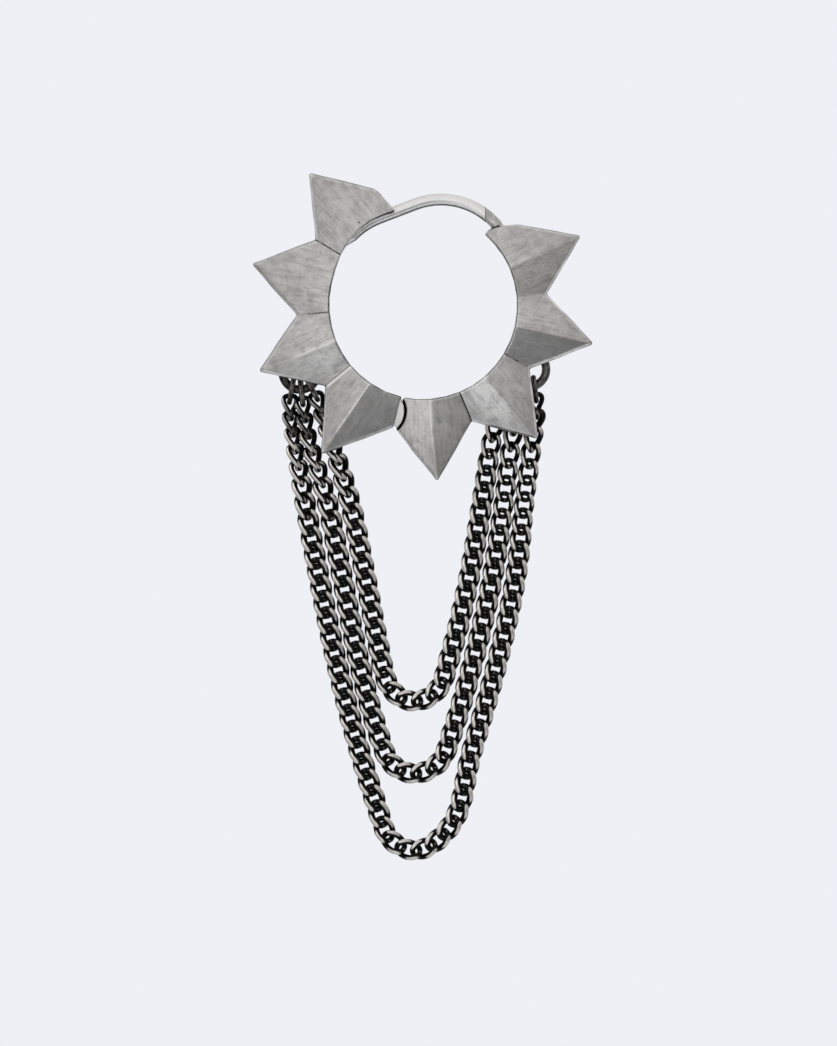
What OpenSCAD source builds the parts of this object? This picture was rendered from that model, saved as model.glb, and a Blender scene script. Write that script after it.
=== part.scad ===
// Hinged spiked hoop earring with three curb chains draped from two jump rings.
// Millimetres. +Z is up, +X is right and the wearer's viewer looks along +Y.
// The origin is the top of the ear wire, where it hangs in the ear.

/* [Hoop] */
// Radius of the round inner edge
inner_r = 8.45; // [8.3:0.05:8.6]
// Radius to the notch between two spikes
notch_r = 11.25; // [11.1:0.05:11.4]
// Radius to the point of a spike
tip_r = 15.6; // [15:0.1:16.5]
// Height of a spike's ridge at the inner edge, in front of the middle plane
ridge_h = 2.2; // [1.9:0.05:2.4]
// Height of a spike at its point
tip_h = 0.6; // [0.5:0.05:0.8]
// Height at the notch between two spikes
notch_h = 0.7; // [0.55:0.05:0.85]
// Relief of the back face, as a share of the front
back_share = 0.5; // [0.4:0.05:0.55]
// Width of the bevel along the outer edge
edge_bevel = 0.2; // [0.15:0.05:0.3]
// Width of the chamfer along the inner edge
inner_chamfer = 0.12; // [0.1:0.02:0.2]

/* [Hinge] */
// Radius of the round knuckle
knuckle_r = 2.12; // [2.08:0.01:2.18]
// Gap between the knuckle and its socket
hinge_gap = 0.18; // [0.12:0.02:0.2]
// Radius of the hinge pin
pin_r = 0.45; // [0.35:0.05:0.5]
// Thickness of the middle tongue of the right half
tongue_t = 0.7; // [0.6:0.05:0.8]

/* [Ear wire] */
// Diameter of the ear wire
wire_d = 1.1; // [1:0.05:1.15]
// Radius of the arch over the ear
arch_r = 6.6; // [6.5:0.05:6.7]
// Diameter of the catch pin at the wire's end
catch_pin_d = 0.5; // [0.46:0.02:0.56]

/* [Jump rings] */
// Outer diameter of a jump ring
ring_d = 3.95; // [3.9:0.05:4]
// Wire diameter of a jump ring
ring_wire_d = 0.78; // [0.7:0.02:0.8]
// Distance of the rings and chains behind the middle plane
ring_y = 1.75; // [1.7:0.05:1.9]

/* [Chains] */
// Distance from link to link
link_pitch = 1.5; // [1.48:0.01:1.5]
// Wire diameter of a link
link_wire_d = 0.38; // [0.35:0.01:0.38]
// Width of a link over its wire
link_w = 1.8; // [1.76:0.01:1.81]
// Twist of a link from end to end, in degrees
link_twist = 96; // [92:1:98]

/* [Hidden] */
$fn = 64;

// Centre of the hoop
hoop_x = -1.6;
hoop_z = -9.55;
// Spikes stand every 36 degrees, the first at the top left
pitch = 36;
first_tip = 130.7;
half_pitch = pitch / 2;
spikes_each = 4;

// Slopes of a spike's two flat faces: along its ridge, and across it
radial_fall = (tip_h - ridge_h) / (tip_r - inner_r);
cross_fall = (ridge_h + radial_fall * (notch_r * cos(half_pitch) - inner_r) - notch_h)
             / (notch_r * sin(half_pitch));
// Half the angle of a spike's point, seen from the front
half_tip = atan2(notch_r * sin(half_pitch), tip_r - notch_r * cos(half_pitch));
// The points are cut off by tip_blunt, and flat for blunt_off degrees to each side, as the ridges are
tip_blunt = 0.15;
blunt_off = asin(tip_r * sin(half_tip) / (tip_r - tip_blunt)) - half_tip;

// The casting isn't quite even. Columns: degrees past the first spike's ridge, how far the ring is
// turned there in degrees, and how much further out the outer edge is
CAST_AT = 0;
CAST_TURN = 1;
CAST_OUT = 2;
casting = [[-36, 0, 0], [0, 0, 0.2], [18, -0.1, 0.08], [36, -0.4, 0.32], [54, -0.5, 0.2], [72, -0.9, 0.35],
           [90, -1.3, 0.17], [99, -2.25, 0.36], [108, -3.2, 0.65], [117, -1.6, 0.2], [126, 0, 0],
           [144, -0.2, 0.3], [162, 0, 0.05], [180, 0, 0.25], [198, 0.6, -0.1], [216, 0.6, 0.12],
           [234, 0.7, -0.1], [252, 1.2, -0.05], [270, 0, 0], [306, 0, 0]];
function cast(a, column) = lookup(a - first_tip, [for (row = casting) [row[CAST_AT], row[column]]]);

// The narrow flat rim between the front and the back bevel
rim_front = 0.3;
rim_back = 0.12;
// Depth that is past the front and the back of both halves
past_faces = 3;

// Hinge. Apart from its knuckle, the left half ends at the hinge angle, and a little before it in
// the middle layer, which the tongue goes through
knuckle_at_r = 10.23;
knuckle_angle = 248.2;
hinge_angle = 256.5;
middle_angle = 256.2;
tongue_reach = 0.3;
tongue_inset = 0.5;
slot_gap = 0.07;
pin_gap = 0.03;
pin_front = 0.9;
pin_back = 0.78;

// Ear wire, from the seat in the left half over the arch to the catch
arch_left = 111;
arch_right = 51.5;
straight_l = 3.4;
bend_r = 7;
bend_angle = 25;
tail_l = 1.3;
tail_d = 0.3;
bend_overlap = 0.1;
straight_less = 0.01;
seat_gap = 0.03;
seat_past = 0.1;
catch_gap = 0.05;
collar_d = 1.04;
collar_end = 37;
catch_pin_end = 31;
catch_pin_root = 56;
catch_bore_end = 27;
joint_x = 4.03;
joint_gap = 0.06;

// Staples that hold the jump rings on the back
staple_wire_d = 0.6;
staple_r = 0.85;
staple_root = 0.2;
ring_r = (ring_d - ring_wire_d) / 2;
left_ring = [-12.7, -15.5];
right_ring = [7.9, -15.25];

// Chain links
link_play = 0.3;
link_a = (link_pitch + link_wire_d + link_play) / 2;
link_b = (link_w - link_wire_d) / 2;
link_fullness = 0.7;
link_points = 10;
wire_sides = 5;
heading_step = 4;
first_link_drop = 0.3;

// A strand's links are turned near the rings: fully up to the hold distance, not at all past the gone
// distance. The first and the last link are plain ovals that stand on edge
end_turn = 60;
left_hold = 6;
left_gone = 14;
right_hold = 3;
right_gone = 8;
on_edge = 90;

// Where each strand holds the left and the right ring, as angles on the ring, and the points [x, z]
// that its middle line passes on the way
outer_hooks = [243, 289];
outer_path = [[-13.65, -18.3], [-13.5, -20], [-12.3, -27], [-11, -34], [-9.35, -42], [-7.25, -50],
              [-5.65, -55], [-4.6, -57.75], [-2.1, -58.75], [0.6, -56.85], [2.7, -50], [5, -42],
              [6.75, -34], [7.55, -27], [8.2, -22], [8.6, -18.5]];
middle_hooks = [274, 258.5];
middle_path = [[-12.4, -18.8], [-12.1, -20.7], [-10.3, -27], [-8.9, -34], [-7.3, -42], [-5.65, -48],
               [-4.4, -51], [-2.8, -51.8], [-0.15, -50.85], [1, -48], [2.8, -42], [4.65, -34],
               [5.7, -27], [6.5, -21], [7, -18.7]];
inner_hooks = [306, 225.5];
inner_path = [[-11, -18.3], [-10.3, -20.5], [-8.25, -27], [-6.8, -34], [-5.35, -41.5], [-4.8, -43.8],
              [-2.9, -45.3], [-0.35, -44.4], [0.7, -41.5], [2.55, -34], [3.75, -27], [4.75, -20.8],
              [5.4, -18.3]];
curve_steps = 16;

// A point at radius r and angle a of the hoop, turned as the casting is, at depth y
function hoop_point(r, a, y) =
    let (turned = a + cast(a, CAST_TURN))
    [hoop_x + r * cos(turned), y, hoop_z + r * sin(turned)];

// Height of a spike's face at radius r, off degrees away from its ridge
function face_h(r, off) =
    ridge_h + radial_fall * (r * cos(off) - inner_r) - cross_fall * r * abs(sin(off));

// Radius of the straight outer edge with its blunt point, off degrees from the ridge
function edge_r(off) = min(tip_r - tip_blunt, tip_r * sin(half_tip) / sin(half_tip + off));

// One cross-section of the hoop: inner wall, front face, outer rim and back face.
// The chamfer and the bevel take at most a third of the width each
function section(a, off, r_in, r_out, bevel) =
    let (third = (r_out - r_in) / 3,
         chamfer = min(inner_chamfer, third),
         r_a = r_in + chamfer,
         r_b = r_out - min(bevel, third),
         h_in = face_h(r_a, off),
         h_out = face_h(r_b, off))
    [hoop_point(r_in, a, chamfer - h_in),
     hoop_point(r_a, a, -h_in),
     hoop_point(r_b, a, -h_out),
     hoop_point(r_out, a, -rim_front),
     hoop_point(r_out, a, rim_back),
     hoop_point(r_b, a, back_share * h_out),
     hoop_point(r_in, a, back_share * h_in)];

// A section on spike k, off degrees past its ridge, or before it where off is below 0
function spike_section(k, off, r_in) =
    let (a = first_tip + pitch * k + off)
    section(a, abs(off), r_in, edge_r(abs(off)) + cast(a, CAST_OUT), edge_bevel / sin(half_tip + abs(off)));

// Sections of spike k halfway up to its point, and from its point on up to the notch
halfway = half_pitch / 2;
function before_tip(k) = spike_section(k, -halfway, inner_r);
function from_tip(k) =
    [for (off = [-blunt_off, blunt_off, halfway, half_pitch]) spike_section(k, off, inner_r)];

// The rounded free ends, in sections away from their spike's ridge.
// Columns: degrees from the ridge, inner radius past the hoop's own, outer radius
END_OFF = 0;
END_IN = 1;
END_OUT = 2;
left_end = [[23.7, 0.42, 9.1], [23.3, 0.34, 9.24], [22.6, 0.28, 9.5], [21.8, 0.27, 9.78],
            [21, 0.28, 10.1], [20, 0.3, 10.66], [19, 0.33, 11.06]];
right_end = [[20, 0, 10.76], [22, 0, 10.28], [24, 0, 9.8], [25.5, 0.01, 9.37], [26.6, 0.05, 9.03]];
function end_sections(k, side, rows) =
    [for (row = rows)
        section(first_tip + pitch * k + side * row[END_OFF], row[END_OFF], inner_r + row[END_IN],
                row[END_OUT], edge_bevel)];

// The inner edge gives way along the first spike, where the wire lies in its seat.
// Columns: spike, degrees from its ridge, inner radius past the hoop's own
SEAT_SPIKE = 0;
SEAT_OFF = 1;
SEAT_IN = 2;
wire_seat = [[0, -18, 0.35], [0, -9, 0.44], [0, -blunt_off, 0.42], [0, blunt_off, 0.42], [0, 9, 0.34],
             [0, 18, 0.24], [1, -9, 0.1]];

// The right half starts past the hinge angle with a rounded inner corner, columns as above
right_start = [[4, -17.1, 0.2], [4, -16.5, 0.04], [4, -15.5, 0]];
function listed_sections(rows) =
    [for (row = rows) spike_section(row[SEAT_SPIKE], row[SEAT_OFF], inner_r + row[SEAT_IN])];

// Triangles of a skin from one ring of points to the next, n points to a ring
function band_faces(from, to, n) =
    [for (j = [0:n - 1])
        let (k = (j + 1) % n)
        each [[from * n + j, to * n + k, from * n + k], [from * n + j, to * n + j, to * n + k]]];

module loft(sections) {
    n = len(sections[0]);
    last = len(sections) - 1;
    first_cap = [for (j = [0:n - 1]) j];
    last_cap = [for (j = [n - 1:-1:0]) last * n + j];
    skin = [for (i = [0:last - 1]) each band_faces(i, i + 1, n)];
    polyhedron(points = [for (s = sections) each s], faces = concat([first_cap], skin, [last_cap]));
}

// Extrudes an outline in X and Z along Y, from y0 to y1
module along_y(y0, y1) {
    translate([0, y1, 0]) rotate([90, 0, 0]) linear_extrude(y1 - y0) children();
}

// Part of a round ring in the XZ plane, from angle a0 to a1, around a centre
module arc_tube(centre, r, d, a0, a1) {
    translate([centre[0], 0, centre[1]]) rotate([90, 0, 0]) rotate([0, 0, a0])
        rotate_extrude(angle = a1 - a0) translate([r, 0]) circle(d = d);
}

knuckle_at = [hoop_x + knuckle_at_r * cos(knuckle_angle), hoop_z + knuckle_at_r * sin(knuckle_angle)];

// Round post on the hinge axis
module on_hinge(r, y0, y1) {
    along_y(y0, y1) translate(knuckle_at) circle(r);
}

// Outline of everything past an angle of the hoop
module past_angle(a) {
    reach = 20;
    wedge = 40;
    translate([hoop_x, hoop_z])
        polygon([[0, 0], [reach * cos(a), reach * sin(a)], [reach * cos(a + wedge), reach * sin(a + wedge)]]);
}

// Middle tongue of the hinge, larger by gap all round
module tongue(gap) {
    along_y(-tongue_t / 2 - gap, tongue_t / 2 + gap) intersection() {
        translate(knuckle_at) circle(knuckle_r + tongue_reach + gap);
        translate([hoop_x, hoop_z]) difference() {
            circle(notch_r - tongue_inset + gap);
            circle(inner_r + tongue_inset - gap);
        }
    }
}

// U-shaped staple on the back that a jump ring hangs in
module staple(ring) {
    top = ring[1] + ring_r;
    translate([ring[0], 0, top]) {
        for (side = [-1, 1])
            translate([0, staple_root, side * staple_r])
                rotate([-90, 0, 0]) cylinder(d = staple_wire_d, h = ring_y - staple_root);
        translate([0, ring_y, 0]) rotate([90, 0, 90]) rotate([0, 0, -90])
            rotate_extrude(angle = 180) translate([staple_r, 0]) circle(d = staple_wire_d);
    }
}

// Path of the ear wire, with a given diameter
bend_start = [arch_r * cos(arch_left) - straight_l * sin(arch_left),
              -arch_r + arch_r * sin(arch_left) + straight_l * cos(arch_left)];
bend_centre = [bend_start[0] - bend_r * cos(arch_left), bend_start[1] - bend_r * sin(arch_left)];
tail_start = [bend_centre[0] + bend_r * cos(arch_left + bend_angle),
              bend_centre[1] + bend_r * sin(arch_left + bend_angle)];
module wire_path(d, past = 0) {
    arc_tube([0, -arch_r], arch_r, d, arch_right, arch_left);
    // The straight stretch is a hair thinner and runs a little way into both bends
    translate([bend_start[0], 0, bend_start[1]]) rotate([0, 180 - arch_left, 0])
        translate([0, 0, -bend_overlap]) cylinder(d = d - straight_less, h = straight_l + 2 * bend_overlap);
    arc_tube(bend_centre, bend_r, d, arch_left, arch_left + bend_angle + past / bend_r * 180 / PI);
    // The tail tapers into the first spike
    translate([tail_start[0], 0, tail_start[1]]) rotate([0, -arch_left - bend_angle, 0])
        translate([0, 0, -bend_overlap])
            cylinder(d1 = d - straight_less, d2 = tail_d + d - wire_d, h = bend_overlap + tail_l + past);
}

// Blocks on the two sides of the flat joint between the wire and its collar
joint_block = 10;
module before_joint() {
    translate([joint_x + joint_gap - joint_block, -joint_block / 2, -joint_block])
        cube([joint_block, joint_block, 2 * joint_block]);
}
module after_joint() {
    translate([joint_x, -joint_block / 2, -joint_block])
        cube([joint_block, joint_block, 2 * joint_block]);
}

module left_half() {
    color("darkgray") difference() {
        union() {
            loft(concat(
                end_sections(0, -1, left_end),
                listed_sections(wire_seat),
                from_tip(1),
                [for (k = [2:spikes_each - 1]) each [before_tip(k), each from_tip(k)]],
                [before_tip(spikes_each)]));
            staple(left_ring);
        }
        along_y(-past_faces, past_faces) difference() {
            past_angle(hinge_angle);
            translate(knuckle_at) circle(knuckle_r);
        }
        along_y(-tongue_t / 2 - slot_gap, tongue_t / 2 + slot_gap) past_angle(middle_angle);
        tongue(slot_gap);
        on_hinge(pin_r + pin_gap, -pin_front - pin_gap, past_faces);
        wire_path(wire_d + 2 * seat_gap, seat_past);
    }
}

module right_half() {
    color("gray") difference() {
        union() {
            difference() {
                loft(concat(
                    listed_sections(right_start),
                    [for (k = [spikes_each:2 * spikes_each - 1]) each [before_tip(k), each from_tip(k)]],
                    end_sections(2 * spikes_each - 1, 1, right_end)));
                // The middle layer stays, so that no light comes through the gap round the knuckle
                on_hinge(knuckle_r + hinge_gap, -past_faces, -tongue_t / 2);
                on_hinge(knuckle_r + hinge_gap, tongue_t / 2, past_faces);
            }
            tongue(0);
            staple(right_ring);
            difference() {
                arc_tube([0, -arch_r], arch_r, collar_d, collar_end, arch_right);
                before_joint();
            }
        }
        on_hinge(pin_r + pin_gap, -past_faces, past_faces);
        arc_tube([0, -arch_r], arch_r, catch_pin_d + 2 * catch_gap, catch_bore_end, catch_pin_root);
    }
}

module ear_wire() {
    color("whitesmoke") union() {
        difference() {
            wire_path(wire_d);
            after_joint();
        }
        arc_tube([0, -arch_r], arch_r, catch_pin_d, catch_pin_end, catch_pin_root);
    }
}

module hinge_pin() {
    color("silver") on_hinge(pin_r, -pin_front, pin_back);
}

module jump_ring(at) {
    translate([at[0], ring_y, at[1]]) rotate([90, 0, 0])
        rotate_extrude() translate([ring_r, 0]) circle(d = ring_wire_d);
}

module jump_ring_left() {
    color("dimgray") jump_ring(left_ring);
}

module jump_ring_right() {
    color("dimgray") jump_ring(right_ring);
}

// Where a strand takes hold of a ring
function hook(ring, a) = [ring[0] + ring_r * cos(a), ring[1] + ring_r * sin(a)];

function unit(v) = v / norm(v);

// Heading of a smooth line at its point i, from the two stretches beside it
function heading(p, i) =
    i == 0 ? unit(p[1] - p[0])
    : i == len(p) - 1 ? unit(p[i] - p[i - 1])
    : let (before = norm(p[i] - p[i - 1]),
           after = norm(p[i + 1] - p[i]))
      (unit(p[i] - p[i - 1]) * after + unit(p[i + 1] - p[i]) * before) / (before + after);

// Point of the smooth line at share t of the way from point i to the next
function between(p, i, t) =
    let (length = norm(p[i + 1] - p[i]))
    (2 * pow(t, 3) - 3 * t * t + 1) * p[i] + (pow(t, 3) - 2 * t * t + t) * length * heading(p, i)
    + (3 * t * t - 2 * pow(t, 3)) * p[i + 1] + (pow(t, 3) - t * t) * length * heading(p, i + 1);

// Route of a strand from the left ring down, round its foot and up to the right ring,
// with a short stretch past each ring's wire for the end links
function route(hooks, path) =
    let (p = concat([hook(left_ring, hooks[0])], path, [hook(right_ring, hooks[1])]),
         last = len(p) - 1,
         lift = link_pitch / 2 - first_link_drop)
    concat([p[0] - lift * heading(p, 0)],
           [for (i = [0:last - 1], step = [0:curve_steps - 1]) between(p, i, step / curve_steps)],
           [p[last], p[last] + lift * heading(p, last)]);

// Distance along a list of points, up to each of them
function distances(p) =
    [for (i = 0, s = 0; i < len(p); s = s + (i + 1 < len(p) ? norm(p[i + 1] - p[i]) : 0), i = i + 1) s];

// Power of a cosine or sine that keeps its sign, for a link that is fuller than an ellipse
function full(v) = sign(v) * pow(abs(v), link_fullness);

// Centre line of one link, along U with its width across V and its twist about U
function link_line(t, twist) =
    let (u = link_a * full(cos(t)),
         v = link_b * full(sin(t)),
         turn = twist / 2 * u / link_a)
    [u, v * cos(turn), v * sin(turn)];

// One closed link: rings of wire around the centre line
function link_rings(twist) =
    [for (i = [0:link_points - 1])
        let (t = i * 360 / link_points,
             at = link_line(t, twist),
             way = unit(link_line(t + heading_step, twist) - link_line(t - heading_step, twist)),
             out = unit(at - (at * way) * way),
             side = cross(out, way))
        [for (j = [0:wire_sides - 1])
            let (a = j * 360 / wire_sides)
            at + link_wire_d / 2 * (cos(a) * out + sin(a) * side)]];
twisted_link = link_rings(link_twist);
plain_link = link_rings(0);
link_faces = [for (i = [0:link_points - 1]) each band_faces(i, (i + 1) % link_points, wire_sides)];

// Turns a link's point by turn about its length, then lays it along way at the place at
function laid(p, at, way, turn) =
    let (v = p[1] * cos(turn) - p[2] * sin(turn),
         w = p[1] * sin(turn) + p[2] * cos(turn))
    [at[0] + p[0] * way[0] - v * way[1], ring_y + w, at[1] + p[0] * way[1] + v * way[0]];

// Share of the end turn at a distance from a ring
function turn_share(distance, hold, gone) = min(1, max(0, (gone - distance) / (gone - hold)));
function strand_turn(s, total) =
    end_turn * (turn_share(s, left_hold, left_gone) - turn_share(total - s, right_hold, right_gone));

module chain(hooks, path) {
    points = route(hooks, path);
    along = distances(points);
    total = along[len(along) - 1];
    x_at = [for (i = [0:len(points) - 1]) [along[i], points[i][0]]];
    z_at = [for (i = [0:len(points) - 1]) [along[i], points[i][1]]];
    links = round(total / link_pitch);
    step = total / links;
    joints = [for (i = [0:links]) [lookup(i * step, x_at), lookup(i * step, z_at)]];
    for (i = [0:links - 1]) {
        way = unit(joints[i + 1] - joints[i]);
        centre = (joints[i] + joints[i + 1]) / 2;
        plain = i == 0 || i == links - 1;
        turn = plain ? on_edge : strand_turn((i + 0.5) * step, total);
        polyhedron(points = [for (ring = plain ? plain_link : twisted_link, p = ring)
                                laid(p, centre, way, turn)],
                   faces = link_faces);
    }
}

module chain_outer() {
    color([0.3, 0.29, 0.27]) chain(outer_hooks, outer_path);
}

module chain_middle() {
    color([0.3, 0.29, 0.27]) chain(middle_hooks, middle_path);
}

module chain_inner() {
    color([0.3, 0.29, 0.27]) chain(inner_hooks, inner_path);
}

left_half();
right_half();
ear_wire();
hinge_pin();
jump_ring_left();
jump_ring_right();
chain_outer();
chain_middle();
chain_inner();
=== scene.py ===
"""Looks of the spiked hoop earring: worn silver halves, a polished ear wire and fine oxidised chains."""
import math

import bpy
import numpy as np
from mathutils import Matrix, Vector


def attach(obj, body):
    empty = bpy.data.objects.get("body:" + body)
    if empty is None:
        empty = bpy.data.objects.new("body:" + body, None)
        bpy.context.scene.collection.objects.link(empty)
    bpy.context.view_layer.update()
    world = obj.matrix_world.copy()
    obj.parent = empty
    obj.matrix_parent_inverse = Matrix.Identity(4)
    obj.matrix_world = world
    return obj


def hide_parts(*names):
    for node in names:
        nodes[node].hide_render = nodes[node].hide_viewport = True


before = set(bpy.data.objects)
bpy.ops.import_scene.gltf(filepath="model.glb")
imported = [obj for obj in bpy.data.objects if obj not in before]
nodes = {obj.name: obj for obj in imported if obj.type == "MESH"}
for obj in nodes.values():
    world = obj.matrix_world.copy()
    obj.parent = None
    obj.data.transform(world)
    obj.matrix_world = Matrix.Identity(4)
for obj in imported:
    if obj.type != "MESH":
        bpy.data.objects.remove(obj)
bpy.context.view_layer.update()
scene = bpy.context.scene
MM = 0.001

# Camera: straight from the front, the picture's middle on the line of sight
PICTURE = (837, 1046)
PIXEL = 0.09 * MM
VIEW_AT = Vector((-2.025 * MM, 0, -29.115 * MM))
CAMERA_AWAY = 0.8
SENSOR = 36

camera = bpy.data.objects.new("camera", bpy.data.cameras.new("camera"))
scene.collection.objects.link(camera)
camera.location = VIEW_AT - Vector((0, CAMERA_AWAY, 0))
camera.rotation_euler = (math.radians(90), 0, 0)
camera.data.sensor_width = SENSOR
camera.data.lens = SENSOR * CAMERA_AWAY / (max(PICTURE) * PIXEL)
camera.data.clip_start = 0.01
camera.data.clip_end = 20
scene.camera = camera


class Look:
    """A material with short names for the nodes that it is made of."""

    def __init__(self, name, metallic=1.0):
        self.material = bpy.data.materials.new(name)
        self.material.use_nodes = True
        self.tree = self.material.node_tree
        self.shader = self.tree.nodes["Principled BSDF"]
        self.shader.inputs["Metallic"].default_value = metallic

    def put(self, value, socket):
        if isinstance(value, bpy.types.NodeSocket):
            self.tree.links.new(value, socket)
        else:
            socket.default_value = value

    def node(self, kind, output=0, settings=None, **inputs):
        made = self.tree.nodes.new(kind)
        for key, value in (settings or {}).items():
            setattr(made, key, value)
        for key, value in inputs.items():
            self.put(value, made.inputs[key])
        return made.outputs[output]

    def math(self, operation, *values):
        made = self.tree.nodes.new("ShaderNodeMath")
        made.operation = operation
        for value, socket in zip(values, made.inputs):
            self.put(value, socket)
        return made.outputs[0]

    def plus(self, first, *others):
        for value in others:
            first = self.math("ADD", first, value)
        return first

    def minus(self, first, second):
        return self.math("SUBTRACT", first, second)

    def times(self, first, *others):
        for value in others:
            first = self.math("MULTIPLY", first, value)
        return first

    def most(self, first, *others):
        for value in others:
            first = self.math("MAXIMUM", first, value)
        return first

    def without(self, share):
        """What a share leaves of 1."""
        return self.minus(1.0, share)

    def under(self, value, limit):
        """1 where the value is under the limit, and 0 elsewhere."""
        return self.math("LESS_THAN", value, limit)

    def over(self, value, limit):
        """1 where the value is over the limit, and 0 elsewhere."""
        return self.math("GREATER_THAN", value, limit)

    def length(self, first, second):
        return self.math("SQRT", self.plus(self.times(first, first), self.times(second, second)))

    def vector_math(self, operation, first, second, output):
        made = self.tree.nodes.new("ShaderNodeVectorMath")
        made.operation = operation
        self.put(first, made.inputs[0])
        self.put(second, made.inputs[1])
        return made.outputs[output]

    def position(self):
        """The place on the part, in millimetres, as three sockets."""
        at = self.node("ShaderNodeTexCoord", "Object")
        scaled = self.vector_math("DIVIDE", at, (MM, MM, MM), "Vector")
        split = self.tree.nodes.new("ShaderNodeSeparateXYZ")
        self.put(scaled, split.inputs[0])
        return split.outputs

    def vector(self, x, y, z):
        return self.node("ShaderNodeCombineXYZ", X=x, Y=y, Z=z)

    def noise(self, at, scale, detail=3.0, roughness=0.5, distortion=0.0):
        return self.node("ShaderNodeTexNoise", "Fac", Vector=at, Scale=scale, Detail=detail,
                         Roughness=roughness, Distortion=distortion)

    def span(self, value, low, high, to_low=0.0, to_high=1.0, smooth=False):
        """Maps low..high to to_low..to_high, and holds it there."""
        made = self.tree.nodes.new("ShaderNodeMapRange")
        made.interpolation_type = "SMOOTHSTEP" if smooth else "LINEAR"
        for name, given in (("Value", value), ("From Min", low), ("From Max", high),
                            ("To Min", to_low), ("To Max", to_high)):
            self.put(given, made.inputs[name])
        return made.outputs[0]

    def fade(self, value, full, gone, most=1.0, least=0.0):
        """Goes smoothly from most, up to the value full, to least, from the value gone on."""
        return self.span(value, full, gone, most, least, smooth=True)

    def mix(self, share, first, second):
        made = self.tree.nodes.new("ShaderNodeMix")
        made.data_type = "RGBA"
        self.put(share, made.inputs["Factor"])
        colours = [socket for socket in made.inputs if socket.type == "RGBA"]
        self.put(first, colours[0])
        self.put(second, colours[1])
        return next(socket for socket in made.outputs if socket.type == "RGBA")

    def pick(self, number, values):
        """Picks one of a list of values by its number, which counts from 0."""
        most = max(1, *values)
        made = self.tree.nodes.new("ShaderNodeValToRGB")
        ramp = made.color_ramp
        ramp.interpolation = "CONSTANT"
        while len(ramp.elements) < len(values):
            ramp.elements.new(1.0)
        for i, value in enumerate(values):
            share = value / most
            ramp.elements[i].position = i / len(values)
            ramp.elements[i].color = (share, share, share, 1)
        self.put(self.math("DIVIDE", self.plus(number, 0.5), len(values)), made.inputs[0])
        return self.times(made.outputs[0], most) if most > 1 else made.outputs[0]

    def along(self, value, rows):
        """Follows a table of (value, result) rows, straight from row to row."""
        made = self.tree.nodes.new("ShaderNodeValToRGB")
        ramp = made.color_ramp
        first, last = rows[0][0], rows[-1][0]
        low = min(result for at, result in rows)
        high = max(result for at, result in rows)
        while len(ramp.elements) < len(rows):
            ramp.elements.new(1.0)
        for i, (at, result) in enumerate(rows):
            share = (result - low) / (high - low)
            ramp.elements[i].position = (at - first) / (last - first)
            ramp.elements[i].color = (share, share, share, 1)
        self.put(self.span(value, first, last), made.inputs[0])
        return self.plus(self.times(made.outputs[0], high - low), low)

    def bump(self, height, strength, distance):
        made = self.tree.nodes.new("ShaderNodeBump")
        made.inputs["Strength"].default_value = strength
        made.inputs["Distance"].default_value = distance
        self.put(height, made.inputs["Height"])
        self.tree.links.new(made.outputs[0], self.shader.inputs["Normal"])

    def finish(self, colour, roughness):
        self.put(colour, self.shader.inputs["Base Color"])
        self.put(roughness, self.shader.inputs["Roughness"])
        return self.material


def grey(value, warmth=0.0):
    """A linear colour, warmer where warmth is above 0."""
    return (value, value * (1 - 0.5 * warmth), value * (1 - warmth), 1)


# The halves, in millimetres. Ten spikes would fill the circle, the first eight of them are there
HOOP_X = -1.6
HOOP_Z = -9.55
HOOP_R = 8.45
NOTCH_R = 11.25
TIP_R = 15.6
SPIKES_ROUND = 10
PITCH_DEGREES = 360 / SPIKES_ROUND
SPIKE_PITCH = math.radians(PITCH_DEGREES)
FIRST_TIP = math.radians(130.7)
HALF_TIP = math.atan2(NOTCH_R * math.sin(SPIKE_PITCH / 2), TIP_R - NOTCH_R * math.cos(SPIKE_PITCH / 2))
# The points are cut off by this much
TIP_BLUNT = 0.15
# The casting isn't quite even. Columns: degrees past the first spike's ridge, how far the ring is
# turned there in degrees, and how much further out the outer edge is
CASTING = (
    (0, 0, 0.2), (18, -0.1, 0.08), (36, -0.4, 0.32), (54, -0.5, 0.2), (72, -0.9, 0.35), (90, -1.3, 0.17),
    (99, -2.25, 0.36), (108, -3.2, 0.65), (117, -1.6, 0.2), (126, 0, 0), (144, -0.2, 0.3), (162, 0, 0.05),
    (180, 0, 0.25), (198, 0.6, -0.1), (216, 0.6, 0.12), (234, 0.7, -0.1), (252, 1.2, -0.05), (270, 0, 0),
    (324, 0, 0), (360, 0, 0.2))
# The inner edge gives way to the ear wire along the first spike: how far, and between which shares of
# a pitch past its ridge that gets less
SEAT_DEPTH = 0.43
SEAT_TURNS = (-0.15, 0.85)
# The hinge's round knuckle, the angle where its worn end starts, and the gap beside it, which is painted
# dark as shade
HINGE_R = 10.23
HINGE_ANGLE = math.radians(248.2)
KNUCKLE_R = 2.12
KNUCKLE_END = math.radians(255.5 - 360)
KNUCKLE_GAP = (-0.04, 0.18)
# Places from the hoop's centre: one end of the painted shadow line at the foot of the collar, with the
# line's direction and length, and the small pit in the first spike, which gets painted shade
FOOT = (5.85, 6.82)
FOOT_WAY = (0.94, 0.34)
FOOT_LENGTH = 1.1
PIT = (-5.78, 0, 7.43)
# How bright each spike's ridge is, worn and with a painted glint, how far out from the inner edge and how
# wide to each side
RIDGE_WEAR_AND_GLINT = (0.25, 0.4, 0.7, 0.9, 0.85, 0.4, 0.5, 0.5, 0, 0)
RIDGE_REACH = (0.6, 1.2, 4.5, 6.5, 3.0, 0.8, 1.2, 1.5, 0.1, 0.1)
RIDGE_WIDTH = (0.12, 0.12, 0.35, 0.13, 0.25, 0.18, 0.14, 0.16, 0.1, 0.1)
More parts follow.
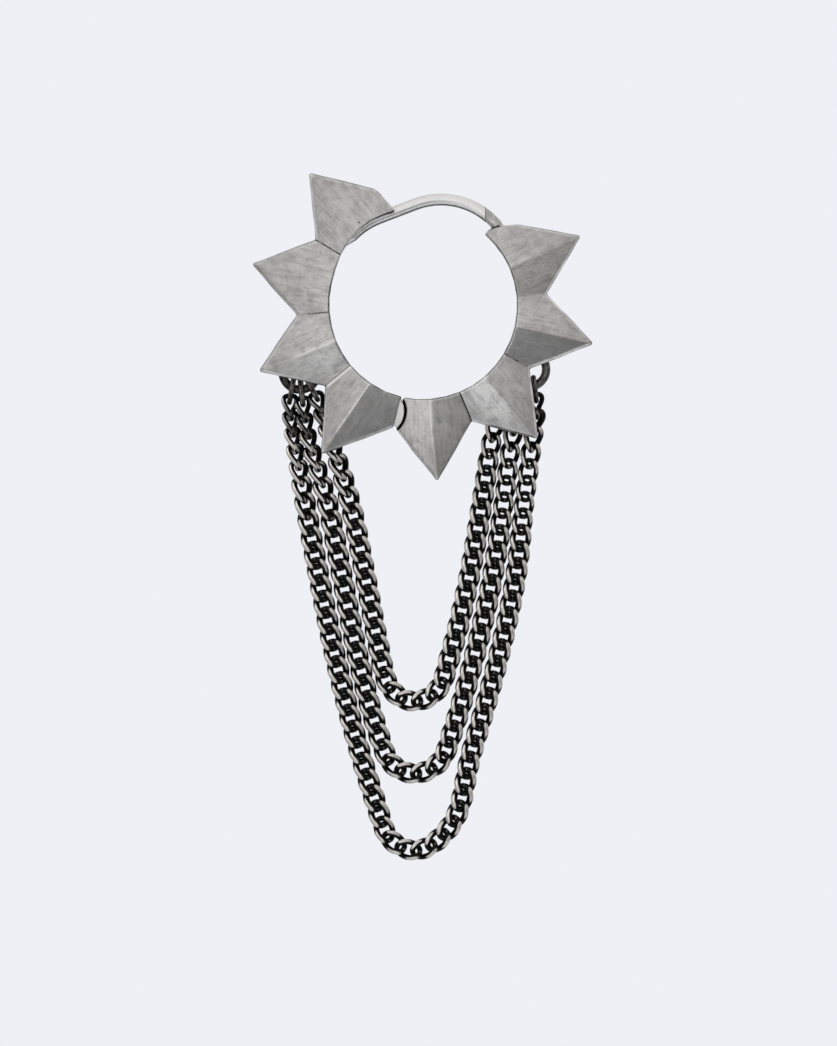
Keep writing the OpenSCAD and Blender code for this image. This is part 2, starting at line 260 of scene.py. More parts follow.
# How dark the painted shade line in the crease after each spike is, and how far out from the inner edge
CREASE_SHADE = (0.95, 0.75, 0.6, 0, 1, 0.9, 0.3, 0, 0, 0)
CREASE_REACH = (3.5, 2.2, 3.5, 0.1, 3.5, 1.6, 1, 0.1, 0.1, 0.1)
# How much each face is burnished and brightened by a painted highlight, on the far side of its ridge going
# round and on the near side
BURNISH_AND_HIGHLIGHT_FAR = (0.1, 0.2, 0.3, 0.15, 0.45, 0.3, 0.2, 0.1, 0, 0)
BURNISH_AND_HIGHLIGHT_NEAR = (0.1, 0.06, 0.05, 0.1, 0.4, 1, 0.3, 0.25, 0, 0)
# How much painted shade darkens each face, on the far side and on the near side
SHADE_FAR = (0, 0, 0, 0.2, 0, 0, 0, 0.13, 0, 0)
SHADE_NEAR = (0, 0, 0.06, 0.06, 0, 0, 0.15, 0, 0, 0)
# How bright the bevel along each outer edge is, worn and with a painted highlight, on the far side and on
# the near side
RIM_WEAR_AND_HIGHLIGHT_FAR = (0.7, 0.3, 0.8, 0.2, 0.3, 0.8, 0.3, 0.3, 0, 0)
RIM_WEAR_AND_HIGHLIGHT_NEAR = (0.2, 0.2, 0.3, 1, 0.4, 0.3, 0.8, 0.5, 0, 0)
# How bright the painted highlight strip beside the crease before each spike is
HIGHLIGHT_STRIP_NEAR = (0, 0, 0, 1, 0, 0.15, 0, 0.1, 0, 0)
# How far from its place each of these is still full, and how far away it is gone
RIM_FADE = (0.2, 0.26)
STRIP_FADE = (0.26, 0.34)
OUTER_LINE_FADE = (0.02, 0.08)
INNER_LINE_FADE = (0.03, 0.12)
CREASE_FADE = (0.03, 0.09)
FOOT_FADE = (0.03, 0.12)
PIT_FADE = (0.05, 0.15)
# Worn silver and painted highlights, and the black of the painted shade lines
BRIGHT = grey(0.95, 0.02)
SHADE_BLACK = grey(0.012, 0.05)


class WornSilver(Look):
    """Silver of the halves: streaked faces, worn ridges with painted glints, worn bevels with painted
    highlights, painted highlight bands, painted shade on some faces, and painted shade lines in crease
    lines, gaps and along edges.
    """

    def __init__(self, name):
        super().__init__(name)
        x, y, z = self.position()
        self.x = self.minus(x, HOOP_X)
        self.z = self.minus(z, HOOP_Z)
        self.r = self.length(self.x, self.z)
        self.angle = self.math("ARCTAN2", self.z, self.x)
        self.find_spike()
        at = self.vector(self.x, y, self.z)
        face_number = self.plus(self.times(self.spike, 7.3), self.times(self.far, 3.1))
        streaks_at = self.vector(self.times(self.ridge_along, 0.3), self.times(self.ridge_across, 3.2),
                                 face_number)
        self.streaks = self.noise(streaks_at, 1.5, 5.0, 0.62, 0.4)
        self.mottle = self.noise(at, 1.1, 6.0, 0.62, 0.6)
        self.speckle = self.noise(at, 7.0, 4.0, 0.7)
        self.tone = self.plus(self.times(self.streaks, 0.35), self.times(self.mottle, 0.4),
                              self.times(self.speckle, 0.25))

    def find_spike(self):
        """The spike and side that a point is on, and how far it is from ridge, crease and edges."""
        turns = self.math("DIVIDE", self.minus(self.angle, FIRST_TIP), SPIKE_PITCH)
        turns = self.math("FLOORED_MODULO", turns, SPIKES_ROUND)
        # The place on an even ring that became this place of the casting
        turned = [((at + turn) / PITCH_DEGREES, turn / PITCH_DEGREES) for at, turn, out in CASTING]
        turns = self.minus(turns, self.along(turns, turned))
        outer = self.along(turns, [(at / PITCH_DEGREES, out) for at, turn, out in CASTING])
        nearest = self.math("ROUND", turns)
        self.spike = self.math("FLOORED_MODULO", nearest, SPIKES_ROUND)
        self.crease_number = self.math("FLOOR", turns)
        off = self.times(self.minus(turns, nearest), SPIKE_PITCH)
        off_ridge = self.math("ABSOLUTE", off)
        self.ridge_along = self.times(self.r, self.math("COSINE", off))
        self.ridge_across = self.times(self.r, self.math("SINE", off))
        self.far = self.over(self.ridge_across, 0.0)
        self.ridge_gap = self.math("ABSOLUTE", self.ridge_across)
        self.crease_gap = self.times(self.r, self.math("SINE", self.minus(SPIKE_PITCH / 2, off_ridge)))
        # The outer edges are straight on the even ring
        even_r = self.minus(self.r, outer)
        even_along = self.times(even_r, self.math("COSINE", off))
        even_across = self.times(even_r, self.math("SINE", off_ridge))
        edge_gap = self.minus(self.times(self.minus(TIP_R, even_along), math.sin(HALF_TIP)),
                              self.times(even_across, math.cos(HALF_TIP)))
        self.edge_gap = self.math("MINIMUM", edge_gap, self.minus(TIP_R - TIP_BLUNT, even_r))
        before_first = self.times(self.over(turns, SPIKES_ROUND - 1), SPIKES_ROUND)
        seat = self.span(self.minus(turns, before_first), *SEAT_TURNS, SEAT_DEPTH, 0.0)
        self.inner_gap = self.minus(self.minus(self.r, HOOP_R), seat)

    def by_face(self, far_values, near_values):
        """Each face's value: of its spike, and for the side of the ridge that it is on."""
        return self.plus(self.times(self.far, self.pick(self.spike, far_values)),
                         self.times(self.without(self.far), self.pick(self.spike, near_values)))

    def faces(self):
        """Streaks and stains, darker far from the inner edge."""
        colour = self.mix(self.span(self.tone, 0.39, 0.61), grey(0.41, 0.03), grey(0.75, 0.035))
        return self.mix(self.span(self.inner_gap, 0.3, 6.0, 0.0, 0.32), colour, grey(0.3, 0.05))

    def burnish_and_highlight(self):
        """How burnished each place is, with a painted highlight there too, most beside the ridge near the
        inner edge.
        """
        near_ridge = self.fade(self.ridge_gap, 0.8, 3.4, 1.0, 0.1)
        near_inside = self.fade(self.inner_gap, 2.0, 5.5, 1.0, 0.3)
        return self.times(near_ridge, near_inside, self.by_face(BURNISH_AND_HIGHLIGHT_FAR, BURNISH_AND_HIGHLIGHT_NEAR),
                          self.span(self.tone, 0.4, 0.52, 0.4, 1.0, smooth=True))

    def painted_shade(self):
        """How much painted shade darkens each place, on the faces that reflect a dark side of the room."""
        return self.times(self.by_face(SHADE_FAR, SHADE_NEAR), self.span(self.inner_gap, 0.0, 3.0, 0.5, 1.0))

    def ridge_wear_and_glint(self):
        """Worn ridges with painted glints, brightest at the inner edge."""
        across = self.fade(self.ridge_gap, 0.02, self.pick(self.spike, RIDGE_WIDTH))
        reached = self.math("DIVIDE", self.inner_gap, self.pick(self.spike, RIDGE_REACH))
        return self.times(across, self.fade(reached, 0.6, 1.0), self.pick(self.spike, RIDGE_WEAR_AND_GLINT),
                          self.span(self.mottle, 0.36, 0.56, 0.4, 1.0))

    def rim_wear_and_highlight(self):
        """The bevel along the outer edges, worn and with a painted highlight."""
        return self.times(self.fade(self.edge_gap, *RIM_FADE), self.by_face(RIM_WEAR_AND_HIGHLIGHT_FAR, RIM_WEAR_AND_HIGHLIGHT_NEAR))

    def strip(self):
        """The painted highlight band beside the crease before a spike."""
        return self.times(self.fade(self.crease_gap, *STRIP_FADE), self.without(self.far),
                          self.pick(self.spike, HIGHLIGHT_STRIP_NEAR))

    def edge_shade_lines(self):
        """Painted shade lines along the outer and the inner edge."""
        return self.most(self.fade(self.edge_gap, *OUTER_LINE_FADE, 0.85),
                         self.fade(self.inner_gap, *INNER_LINE_FADE, 0.8))

    def crease_shade_lines(self):
        # Painted shade lines in the crease after each spike
        reached = self.math("DIVIDE", self.inner_gap, self.pick(self.crease_number, CREASE_REACH))
        return self.times(self.fade(self.crease_gap, *CREASE_FADE), self.pick(self.crease_number, CREASE_SHADE),
                          self.span(reached, 0.85, 1.0, 1.0, 0.0),
                          self.span(self.mottle, 0.34, 0.44, 0.3, 1.0))

    def hinge(self):
        """Shares of the knuckle's light worn end and of the painted shade lines round it, in the gap and at
        the end.
        """
        hinge_x = self.minus(self.x, HINGE_R * math.cos(HINGE_ANGLE))
        hinge_z = self.minus(self.z, HINGE_R * math.sin(HINGE_ANGLE))
        gap = self.minus(self.length(hinge_x, hinge_z), KNUCKLE_R)
        past_end = self.times(self.span(self.angle, KNUCKLE_END - 0.01, KNUCKLE_END + 0.01),
                              self.under(self.angle, 0.0))
        knuckle_end = self.times(past_end, self.under(gap, 0.0))
        gap_shade = self.times(past_end, self.over(gap, KNUCKLE_GAP[0]), self.under(gap, KNUCKLE_GAP[1]))
        end_shade_line = self.times(knuckle_end, self.under(self.angle, KNUCKLE_END + 0.012), 0.7)
        worn = self.times(knuckle_end, self.span(self.speckle, 0.4, 0.6, 0.5, 1.0))
        return worn, self.most(gap_shade, end_shade_line)

    def foot_shadow_line(self):
        # Painted shadow line under the collar's foot
        foot_x = self.minus(self.x, FOOT[0])
        foot_z = self.minus(self.z, FOOT[1])
        along = self.plus(self.times(foot_x, FOOT_WAY[0]), self.times(foot_z, FOOT_WAY[1]))
        off = self.minus(self.times(foot_z, FOOT_WAY[0]), self.times(foot_x, FOOT_WAY[1]))
        return self.times(self.fade(self.math("ABSOLUTE", off), *FOOT_FADE, 0.95),
                          self.over(along, 0.0), self.under(along, FOOT_LENGTH))

    def pit_shade(self):
        # Painted shade in the small pit of the first spike
        gap = self.vector_math("DISTANCE", self.vector(self.x, 0.0, self.z), PIT, "Value")
        return self.times(self.fade(gap, *PIT_FADE, 0.8), self.span(self.speckle, 0.4, 0.5, 0.4, 1.0))


def worn_silver(name):
    look = WornSilver(name)
    # Burnished faces with a painted highlight beside the ridges
    burnish_and_highlight = look.burnish_and_highlight()
    colour = look.mix(burnish_and_highlight, look.faces(), grey(0.98, 0.02))
    # Painted shade on the faces that reflect a dark side of the room
    colour = look.mix(look.painted_shade(), colour, grey(0.15, 0.05))
    # Worn ridges with painted glints
    worn = look.ridge_wear_and_glint()
    colour = look.mix(worn, colour, BRIGHT)
    # Worn bevels along the outer edges, with a painted highlight
    rim_wear_and_highlight = look.rim_wear_and_highlight()
    colour = look.mix(look.times(rim_wear_and_highlight, look.span(look.mottle, 0.36, 0.5, 0.4, 1.0)), colour, grey(0.9, 0.02))
    # Painted highlight strip beside a crease
    strip = look.strip()
    colour = look.mix(strip, colour, BRIGHT)
    knuckle_worn, knuckle_shade_lines = look.hinge()
    colour = look.mix(knuckle_worn, colour, BRIGHT)
    # Painted shade: black lines along edges, in the crease lines, round the knuckle, under the collar and in
    # the pit
    lines = look.most(look.edge_shade_lines(), look.crease_shade_lines(), knuckle_shade_lines, look.foot_shadow_line(), look.pit_shade())
    colour = look.mix(lines, colour, SHADE_BLACK)
    # Worn places and painted highlights are less mirror-like, so their painted brightness stays whatever
    # they reflect
    bright = look.most(worn, strip, rim_wear_and_highlight, burnish_and_highlight)
    look.put(look.span(bright, 0.3, 0.9, 1.0, 0.4), look.shader.inputs["Metallic"])
    look.bump(look.plus(look.times(look.streaks, 0.6), look.times(look.mottle, 0.8)), 0.6, 0.00006)
    roughness = look.minus(look.span(look.tone, 0.35, 0.65, 0.42, 0.3), look.times(burnish_and_highlight, 0.08))
    return look.finish(colour, roughness)


# The flat upright joint between the ear wire and its collar
JOINT_X = 4.03


def polished_silver(name):
    """Bright wire with painted shade: greyer along its outer side and a dark line along its inner side."""
    look = Look(name, 0.85)
    x, y, z = look.position()
    cloud = look.noise(look.vector(x, y, z), 1.4, 4.0, 0.6)
    lines_at = look.vector(look.times(x, 0.8), look.times(y, 6.0), look.times(z, 0.8))
    lines = look.noise(lines_at, 2.0, 3.0, 0.6)
    side = look.node("ShaderNodeAttribute", "Fac", {"attribute_name": "side"})
    side = look.plus(side, look.times(look.minus(cloud, 0.5), 0.25))
    colour = look.mix(look.span(cloud, 0.35, 0.65), grey(0.93, 0.02), grey(0.98, 0.02))
    # Painted shade: grey along the arch's outer side, and a dark line along its inner side
    colour = look.mix(look.span(side, 0.35, 0.6, smooth=True), colour, grey(0.8, 0.03))
    colour = look.mix(look.span(side, -0.72, -0.82, smooth=True), colour, grey(0.1, 0.1))
    colour = look.mix(look.span(x, JOINT_X - 0.09, JOINT_X - 0.05, 0.0, 0.85), colour, grey(0.06, 0.1))
    look.bump(look.plus(cloud, lines), 0.25, 0.00003)
    return look.finish(colour, look.span(lines, 0.3, 0.7, 0.26, 0.38))


def oxidised_silver(name, dark, worn, share):
    """Dark silver, worn lighter in patches. The larger share is, the fewer patches there are."""
    look = Look(name)
    at = look.vector(*look.position())
    cloud = look.noise(at, 2.2, 5.0, 0.65)
    grain = look.noise(at, 14.0, 3.0, 0.6)
    tone = look.plus(look.times(cloud, 0.65), look.times(grain, 0.35))
    colour = look.mix(look.span(tone, share - 0.12, share + 0.12), grey(dark, 0.06), grey(worn, 0.08))
    look.bump(tone, 0.4, 0.00003)
    return look.finish(colour, look.span(grain, 0.3, 0.7, 0.3, 0.45))


def link_silver(name):
    """Black silver that is bright where the links are worn."""
    look = Look(name)
    at = look.vector(*look.position())
    cloud = look.noise(at, 1.7, 5.0, 0.6)
    grain = look.noise(at, 16.0, 3.0, 0.6)
    wear = look.node("ShaderNodeAttribute", "Fac", {"attribute_name": "wear"})
    wear = look.plus(wear, look.times(look.minus(cloud, 0.5), 0.5), look.times(look.minus(grain, 0.5), 0.35))
    colour = look.mix(look.span(wear, 0.3, 0.75, smooth=True), grey(0.015, 0.06), grey(0.78, 0.09))
    look.bump(grain, 0.3, 0.00002)
    return look.finish(colour, look.span(grain, 0.3, 0.7, 0.28, 0.42))


# Corners nearer than this are one corner
WELD = 0.002 * MM
SHARP = math.radians(30)
SHARP_TUBE = math.radians(40)
# The cast halves are meshed afresh in small even cells, then softened and made a little uneven
CELL = 0.08 * MM
SOFTENINGS = 3
UNEVEN = 0.11 * MM
uneven = bpy.data.textures.new("uneven", "CLOUDS")
uneven.noise_scale = 2.8 * MM
uneven.noise_depth = 1


def modify(piece, kind, **settings):
    made = piece.modifiers.new(kind.lower(), kind)
    for key, value in settings.items():
        setattr(made, key, value)


def give(mesh, material):
    """Leaves a mesh one material on all its faces."""
    mesh.materials.clear()
    mesh.materials.append(material)
    for face in mesh.polygons:
        face.material_index = 0


def dress(node, material):
    """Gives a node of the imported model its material, and smooth faces between its sharp edges."""
    give(nodes[node].data, material)
    for face in nodes[node].data.polygons:
        face.use_smooth = True
    modify(nodes[node], "WELD", merge_threshold=WELD)
    modify(nodes[node], "EDGE_SPLIT", split_angle=SHARP)


def add_piece(name, mesh):
    piece = bpy.data.objects.new(name, mesh)
    scene.collection.objects.link(piece)
    return piece


def cast_copy(node, material):
    """A piece in place of a node: the same solid with soft edges and slightly uneven faces."""
    mesh = nodes[node].data.copy()
    mesh.name = node + "_cast"
    give(mesh, material)
    piece = add_piece(node + "_cast", mesh)
    modify(piece, "WELD", merge_threshold=WELD)
    modify(piece, "REMESH", mode="VOXEL", voxel_size=CELL, use_smooth_shade=True)
    modify(piece, "SMOOTH", factor=0.5, iterations=SOFTENINGS)
    modify(piece, "DISPLACE", texture=uneven, texture_coords="LOCAL", strength=UNEVEN, mid_level=0.5)
    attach(piece, "root")
    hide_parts(node)


for half in ("left_half", "right_half"):
    cast_copy(half, worn_silver(half + "_silver"))
dress("hinge_pin", oxidised_silver("hinge_pin_silver", 0.3, 0.55, 0.5))
dress("jump_ring_left", oxidised_silver("jump_ring_left_silver", 0.02, 0.14, 0.56))
dress("jump_ring_right", oxidised_silver("jump_ring_right_silver", 0.06, 0.27, 0.53))


def band(here, after, count):
    """Faces between two rings of count points, which start at the point numbers here and after."""
    return [(here + j, here + (j + 1) % count, after + (j + 1) % count, after + j) for j in range(count)]


def smooth_piece(name, corners, faces, attribute, values, material):
    """A smooth piece from corners in millimetres, with one value of an attribute for each corner."""
    mesh = bpy.data.meshes.new(name)
    mesh.from_pydata((np.array(corners) * MM).tolist(), [], faces)
    mesh.polygons.foreach_set("use_smooth", [True] * len(faces))
    mesh.attributes.new(attribute, "FLOAT", "POINT").data.foreach_set("value", values)
    mesh.materials.append(material)
    return add_piece(name, mesh)


# Ear wire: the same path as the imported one, from the catch pin over the arch to the tail in its seat
ARCH_R = 6.6
ARCH_LEFT = math.radians(111)
WIRE_R = 0.55
PIN_R = 0.25
PIN_END = math.radians(31)
STRAIGHT = 3.4
BEND_R = 7
BEND = math.radians(25)
TAIL = 1.3
TAIL_END_R = 0.15
# How many steps each stretch has, and the points of a ring as angles from the arch's outer side
PIN_STEPS = 10
ARCH_STEPS = 60
STRAIGHT_STEPS = 8
BEND_STEPS = 24
TAIL_STEPS = 8
EAR_WIRE_SIDES = 40
ROUND = [2 * math.pi * j / EAR_WIRE_SIDES for j in range(EAR_WIRE_SIDES)]


def tube(name, rings, material):
    """A closed tube through rings of points. Its attribute side is -1 inside the arch and 1 outside."""
    count = len(ROUND)
    corners = [corner for ring in rings for corner in ring]
    corners += [tuple(np.mean(rings[0], axis=0)), tuple(np.mean(rings[-1], axis=0))]
    last = (len(rings) - 1) * count
    faces = [face for here in range(0, last, count) for face in band(here, here + count, count)]
    for j in range(count):
        k = (j + 1) % count
        faces.append((len(corners) - 2, k, j))
        faces.append((len(corners) - 1, last + j, last + k))
    sides = [math.cos(t) for t in ROUND] * len(rings)
    piece = smooth_piece(name, corners, faces, "side", [*sides, 0, 0], material)
    modify(piece, "EDGE_SPLIT", split_angle=SHARP_TUBE)
    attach(piece, "root")
    return piece


def arch_ring(radius, share, start, end, joint_x=JOINT_X):
    """A ring of the arch. The flat joint, where start or end is None, is one upright plane."""
    made = []
    for t in ROUND:
        out = ARCH_R + radius * math.cos(t)
        joint = math.acos(joint_x / out)
        first = joint if start is None else start
        a = first + share * ((joint if end is None else end) - first)
        made.append((out * math.cos(a), radius * math.sin(t), out * math.sin(a) - ARCH_R))
    return made


def wire_ring(centre, angle, radius):
    """A round ring of the wire at a place (x, z), with its outer side at an angle."""
    return [(centre[0] + radius * math.cos(t) * math.cos(angle), radius * math.sin(t),
             centre[1] + radius * math.cos(t) * math.sin(angle)) for t in ROUND]


def direction(angle):
    return np.array((math.cos(angle), math.sin(angle)))


def ear_wire_rings():
    rings = [arch_ring(PIN_R, i / PIN_STEPS, PIN_END, None) for i in range(PIN_STEPS + 1)]
    rings += [arch_ring(WIRE_R, i / ARCH_STEPS, None, ARCH_LEFT) for i in range(ARCH_STEPS + 1)]
    out = direction(ARCH_LEFT)
    along = np.array((-out[1], out[0]))
    start = ARCH_R * out - (0, ARCH_R)
    for i in range(1, STRAIGHT_STEPS):
        rings.append(wire_ring(start + along * STRAIGHT * i / STRAIGHT_STEPS, ARCH_LEFT, WIRE_R))
    bend_centre = start + along * STRAIGHT - BEND_R * out
    for i in range(BEND_STEPS + 1):
        angle = ARCH_LEFT + BEND * i / BEND_STEPS
        rings.append(wire_ring(bend_centre + BEND_R * direction(angle), angle, WIRE_R))
    out = direction(ARCH_LEFT + BEND)
    along = np.array((-out[1], out[0]))
    for i in range(1, TAIL_STEPS + 1):
        share = i / TAIL_STEPS
        rings.append(wire_ring(bend_centre + BEND_R * out + TAIL * share * along, ARCH_LEFT + BEND,
                               WIRE_R + (TAIL_END_R - WIRE_R) * share))
    return rings


ear_wire = tube("ear_wire_round", ear_wire_rings(), polished_silver("ear_wire_silver"))
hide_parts("ear_wire")

# The collar that the catch pin goes into has a crisp end at the joint
COLLAR_R = 0.53
COLLAR_END = math.radians(40)
COLLAR_X = 4.05
COLLAR_STEPS = 12
collar_rings = [arch_ring(COLLAR_R, i / COLLAR_STEPS, COLLAR_END, None, COLLAR_X)
                for i in range(COLLAR_STEPS + 1)]
collar = tube("collar_sleeve", collar_rings, worn_silver("collar_silver"))

# Chains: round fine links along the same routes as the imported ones. Places are [x, z] in millimetres
RING_D = 3.95
RING_WIRE_D = 0.78
RING_R = (RING_D - RING_WIRE_D) / 2
CHAIN_Y = 1.75
LEFT_RING = (-12.7, -15.5)
RIGHT_RING = (7.9, -15.25)
LINK_PITCH = 1.5
FIRST_LINK_DROP = 0.3
CURVE_STEPS = 16
# Where each strand holds the left and the right ring, as angles, and the points that it passes on the way
STRANDS = {
    "chain_outer": ((243, 289), (
        (-13.65, -18.3), (-13.5, -20), (-12.3, -27), (-11, -34), (-9.35, -42), (-7.25, -50),
        (-5.65, -55), (-4.6, -57.75), (-2.1, -58.75), (0.6, -56.85), (2.7, -50), (5, -42),
        (6.75, -34), (7.55, -27), (8.2, -22), (8.6, -18.5))),
    "chain_middle": ((274, 258.5), (
        (-12.4, -18.8), (-12.1, -20.7), (-10.3, -27), (-8.9, -34), (-7.3, -42), (-5.65, -48),
        (-4.4, -51), (-2.8, -51.8), (-0.15, -50.85), (1, -48), (2.8, -42), (4.65, -34),
        (5.7, -27), (6.5, -21), (7, -18.7))),
    "chain_inner": ((306, 225.5), (
        (-11, -18.3), (-10.3, -20.5), (-8.25, -27), (-6.8, -34), (-5.35, -41.5), (-4.8, -43.8),
        (-2.9, -45.3), (-0.35, -44.4), (0.7, -41.5), (2.55, -34), (3.75, -27), (4.75, -20.8),
        (5.4, -18.3))),
}
# A link's centre line: half its length and width, how full it is beside an ellipse, and its twist in degrees
LINK_LONG = 1.06
LINK_WIDE = 0.7
LINK_FULLNESS = 0.63
LINK_TWIST = 105
HEADING_STEP = math.radians(4)
# Near the rings the links are turned: fully up to the hold distance, not at all past the gone distance
END_TURN = 60
LEFT_HOLD, LEFT_GONE = 6, 14
RIGHT_HOLD, RIGHT_GONE = 3, 8
ON_EDGE = 90
# The links' wire, thinner where it has no room. Links farther apart than APART never meet, and
# nearer ones keep the gap, measured also at shares of the way between their points
WIRE_POINTS = 40
WIRE_SIDES = 14
WIRE_D = 0.6
LEAST_WIRE_D = 0.45
APART = 3.2
LINK_GAP = 0.01
BETWEEN = (0, 0.25, 0.5, 0.75)
# How worn the links are where they cross, and the share of it kept on the links near the rings, which are
# darker
MIDDLE_WEAR = 0.72
NEAR_RING = 4
NEAR_RING_SHARE = 0.6


def unit(v):
    return v / np.linalg.norm(v)


def hook(ring, degrees):
    return np.array(ring) + RING_R * direction(math.radians(degrees))


def route(hooks, path):
    """Points of a strand's middle line, with a short stretch past each ring's wire."""
    p = np.array([hook(LEFT_RING, hooks[0]), *path, hook(RIGHT_RING, hooks[1])])
    gaps = np.diff(p, axis=0)
    length = np.linalg.norm(gaps, axis=1)
    way = gaps / length[:, None]
    inner = [(way[i - 1] * length[i] + way[i] * length[i - 1]) / (length[i] + length[i - 1])
             for i in range(1, len(p) - 1)]
    heading = [way[0], *inner, way[-1]]
    lift = LINK_PITCH / 2 - FIRST_LINK_DROP
    points = [p[0] - lift * heading[0]]
    for i in range(len(p) - 1):
        for t in np.arange(CURVE_STEPS) / CURVE_STEPS:
            points.append((2 * t ** 3 - 3 * t * t + 1) * p[i]
                          + (t ** 3 - 2 * t * t + t) * length[i] * heading[i]
                          + (3 * t * t - 2 * t ** 3) * p[i + 1]
                          + (t ** 3 - t * t) * length[i] * heading[i + 1])
    return np.array([*points, p[-1], p[-1] + lift * heading[-1]])


def turn_share(distance, hold, gone):
    return min(1, max(0, (gone - distance) / (gone - hold)))


def round_steps(count):
    return np.arange(count) * 2 * np.pi / count


def link_line(t, twist):
    """Centre line of one link, along its first axis and twisted about it."""
    u = LINK_LONG * np.sign(np.cos(t)) * np.abs(np.cos(t)) ** LINK_FULLNESS
    v = LINK_WIDE * np.sign(np.sin(t)) * np.abs(np.sin(t)) ** LINK_FULLNESS
    turn = np.radians(twist / 2 * u / LINK_LONG)
    return np.stack([u, v * np.cos(turn), v * np.sin(turn)], -1)


def link_surface(twist, wire_d):
    """Points of one link's surface and their outward directions, ring by ring of its wire."""
    t = round_steps(WIRE_POINTS)
    at = link_line(t, twist)
    way = link_line(t + HEADING_STEP, twist) - link_line(t - HEADING_STEP, twist)
    way /= np.linalg.norm(way, axis=1)[:, None]
    out = at - np.sum(at * way, axis=1)[:, None] * way
    out /= np.linalg.norm(out, axis=1)[:, None]
    side = np.cross(out, way)
    a = round_steps(WIRE_SIDES)
    normal = np.cos(a)[None, :, None] * out[:, None] + np.sin(a)[None, :, None] * side[:, None]
    points = at[:, None] + wire_d / 2 * normal
    return points.reshape(-1, 3), normal.reshape(-1, 3)


def laid(p, way, turn):
    """Turns points or directions of a link about its length and lays its length along way."""
    r = math.radians(turn)
    v = p[:, 1] * math.cos(r) - p[:, 2] * math.sin(r)
    w = p[:, 1] * math.sin(r) + p[:, 2] * math.cos(r)
    return np.stack([p[:, 0] * way[0] - v * way[1], w, p[:, 0] * way[1] + v * way[0]], -1)


def link_poses(hooks, path):
    """Each link's twist, turn about its length, way that it points and middle, and if it is near a ring."""
    points = route(hooks, path)
    along = np.concatenate([[0], np.cumsum(np.linalg.norm(np.diff(points, axis=0), axis=1))])
    total = along[-1]
    count = round(total / LINK_PITCH)
    joints = np.stack([np.interp(np.arange(count + 1) * total / count, along, points[:, i])
                       for i in (0, 1)], -1)
    poses = []
    for i in range(count):
        s = (i + 0.5) * total / count
        plain = i in (0, count - 1)
        turn = ON_EDGE if plain else END_TURN * (
            turn_share(s, LEFT_HOLD, LEFT_GONE) - turn_share(total - s, RIGHT_HOLD, RIGHT_GONE))
        poses.append((0 if plain else LINK_TWIST, turn, unit(joints[i + 1] - joints[i]),
                      (joints[i] + joints[i + 1]) / 2, min(s, total - s) < NEAR_RING))
    return poses


def wire_sizes(poses):
    """A wire diameter for each link: thinner where its neighbours leave no more room."""
    lines = []
    for twist, turn, way, middle, near in poses:
        line = laid(link_line(round_steps(WIRE_POINTS), twist), way, turn) + (middle[0], 0, middle[1])
        step = np.roll(line, -1, axis=0) - line
        lines.append(np.concatenate([line + share * step for share in BETWEEN]))
    sizes = [WIRE_D] * len(poses)
    for i in range(len(poses)):
        for j in range(i):
            if np.linalg.norm(poses[i][3] - poses[j][3]) > APART:
                continue
            least = np.linalg.norm(lines[i][:, None] - lines[j][None], axis=2).min() - LINK_GAP
            sizes[i] = min(sizes[i], least)
            sizes[j] = min(sizes[j], least)
    return np.maximum(sizes, LEAST_WIRE_D)


def rise(value, start, width):
    """0 up to start, then rising to 1 over the width."""
    return np.clip((value - start) / width, 0, 1)


def link_wear(points, normals, way):
    """How worn each point of a link is: most on its outer sides in front and behind."""
    aside = points[:, 2] * way[0] - points[:, 0] * way[1]
    outward = (normals[:, 2] * way[0] - normals[:, 0] * way[1]) * np.sign(aside)
    facing = normals[:, 1] * np.sign(points[:, 1])
    worn = rise(0.8 * facing + 0.6 * outward, 0.55, 0.3) * rise(np.abs(points[:, 1]), 0.05, 0.3)
    return worn * (MIDDLE_WEAR + (1 - MIDDLE_WEAR) * rise(np.abs(aside), 0.35, 0.3))


def make_chain(name, poses, sizes, material):
    corners, wear, faces = [], [], []
    link_points = WIRE_POINTS * WIRE_SIDES
    for i, (twist, turn, way, middle, near) in enumerate(poses):
        body, normals = link_surface(twist, sizes[i])
        points = laid(body, way, turn)
        corners.append(points + (middle[0], CHAIN_Y, middle[1]))
        wear.append(link_wear(points, laid(normals, way, turn), way) * (NEAR_RING_SHARE if near else 1))
        for here in range(0, link_points, WIRE_SIDES):
            after = (here + WIRE_SIDES) % link_points
            faces += band(i * link_points + here, i * link_points + after, WIRE_SIDES)
    return smooth_piece(name, np.concatenate(corners), faces, "wear", np.concatenate(wear), material)


strand_poses = {node: link_poses(hooks, path) for node, (hooks, path) in STRANDS.items()}
sizes_left = wire_sizes([pose for poses in strand_poses.values() for pose in poses])
for node, poses in strand_poses.items():
    sizes, sizes_left = sizes_left[:len(poses)], sizes_left[len(poses):]
    links = make_chain(node + "_links", poses, sizes, link_silver(node + "_silver"))
    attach(links, "root")
    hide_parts(node)

# Floor, well below the hanging earring and out of the front view
FLOOR_Z = -0.3
FLOOR_R = 0.3
bpy.ops.mesh.primitive_circle_add(vertices=128, radius=FLOOR_R, fill_type="NGON", location=(0, 0, FLOOR_Z))
floor = bpy.context.object
floor.name = "floor"
paper = Look("paper", 0.0)
paper.finish((0.82, 0.835, 0.87, 1), 0.8)
floor.data.materials.append(paper.material)

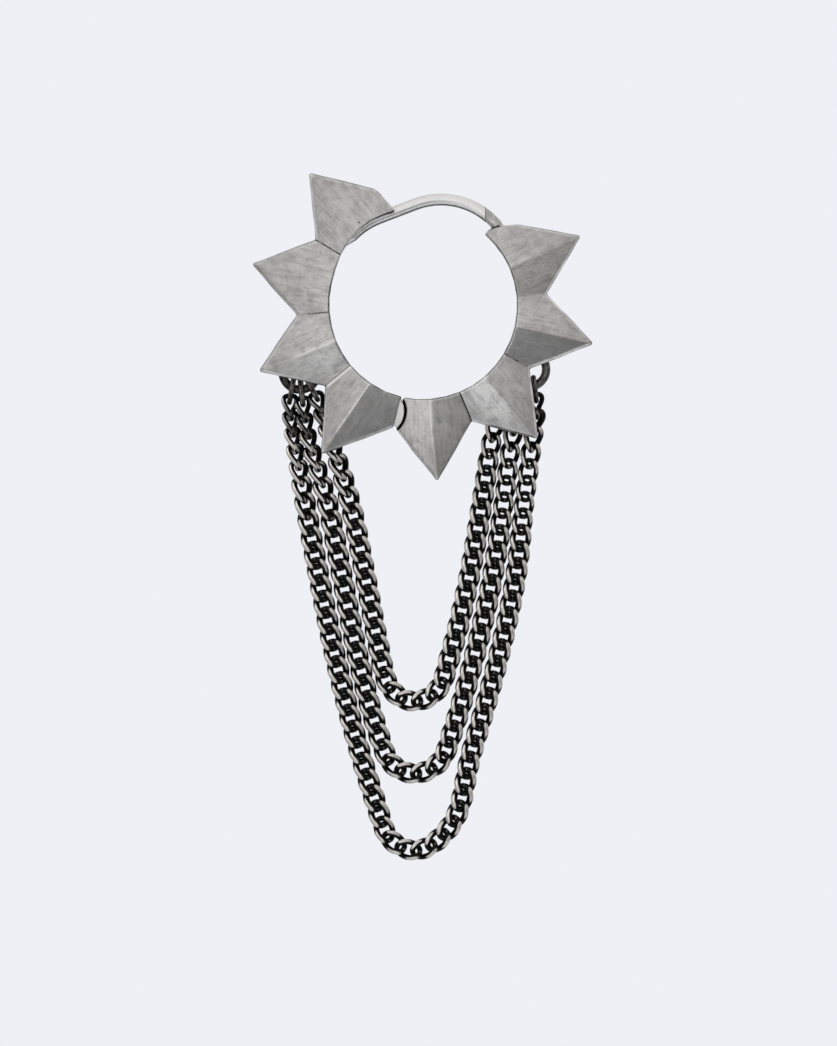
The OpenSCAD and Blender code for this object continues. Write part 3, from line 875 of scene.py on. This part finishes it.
# Light: a pale studio that is dimmer at the sides and darkest at the lower right, and two soft boxes.
# Each lobe has its direction, the cosines where it starts and is full, and its strength
DARK_LOBE = ((0.28, -0.766, -0.58), 0.89, 0.975, 0.76)
DIM_LOBE = ((0.56, -0.766, -0.3), 0.7, 0.98, 0.26)
GLOW_LOBE = ((-0.5, -0.766, -0.4), 0.85, 0.98, 0.1)
BACKDROP = (0.855, 0.871, 0.913, 1)
WHITE = (1, 1, 1, 1)
scene.view_settings.view_transform = "Standard"
world = scene.world or bpy.data.worlds.new("world")
scene.world = world
world.use_nodes = True


class Room(Look):
    """The world's nodes, with the same short names as a material's."""

    def __init__(self, made):
        self.tree = made.node_tree
        self.shader = self.tree.nodes["Background"]

    def toward(self, way):
        """Cosine of the angle between a direction of the room and the given one."""
        here = self.node("ShaderNodeTexCoord", "Generated")
        return self.vector_math("DOT_PRODUCT", here, Vector(way).normalized(), "Value")

    def lobe(self, way, start, full, strength):
        return self.span(self.toward(way), start, full, 0.0, strength, smooth=True)


room = Room(world)
front = room.toward((0, -1, 0))
side = room.span(room.toward((0, 0, 1)), -0.6, 0.8, 0.3, 0.62)
light = room.span(front, 0.45, 0.8, side, 0.7, smooth=True)
light = room.span(front, 0.88, 0.98, light, 0.9, smooth=True)
light = room.span(front, -0.75, -0.5, 0.95, light, smooth=True)
light = room.times(room.plus(light, room.lobe(*GLOW_LOBE)), room.without(room.lobe(*DARK_LOBE)),
                   room.without(room.lobe(*DIM_LOBE)))
seen = room.node("ShaderNodeLightPath", "Is Camera Ray")
room.put(room.mix(seen, WHITE, BACKDROP), room.shader.inputs["Color"])
room.put(room.plus(room.times(light, room.without(seen)), seen), room.shader.inputs["Strength"])


def soft_box(name, at, size, power):
    lamp = bpy.data.lights.new(name, "AREA")
    lamp.size = size
    lamp.energy = power
    box = bpy.data.objects.new(name, lamp)
    scene.collection.objects.link(box)
    box.location = at
    box.rotation_euler = (VIEW_AT - box.location).to_track_quat("-Z", "Y").to_euler()


soft_box("key", Vector((-0.45, -0.25, 0.45)), 0.4, 0.5)
soft_box("top", Vector((0.1, -0.1, 0.6)), 0.6, 0.3)
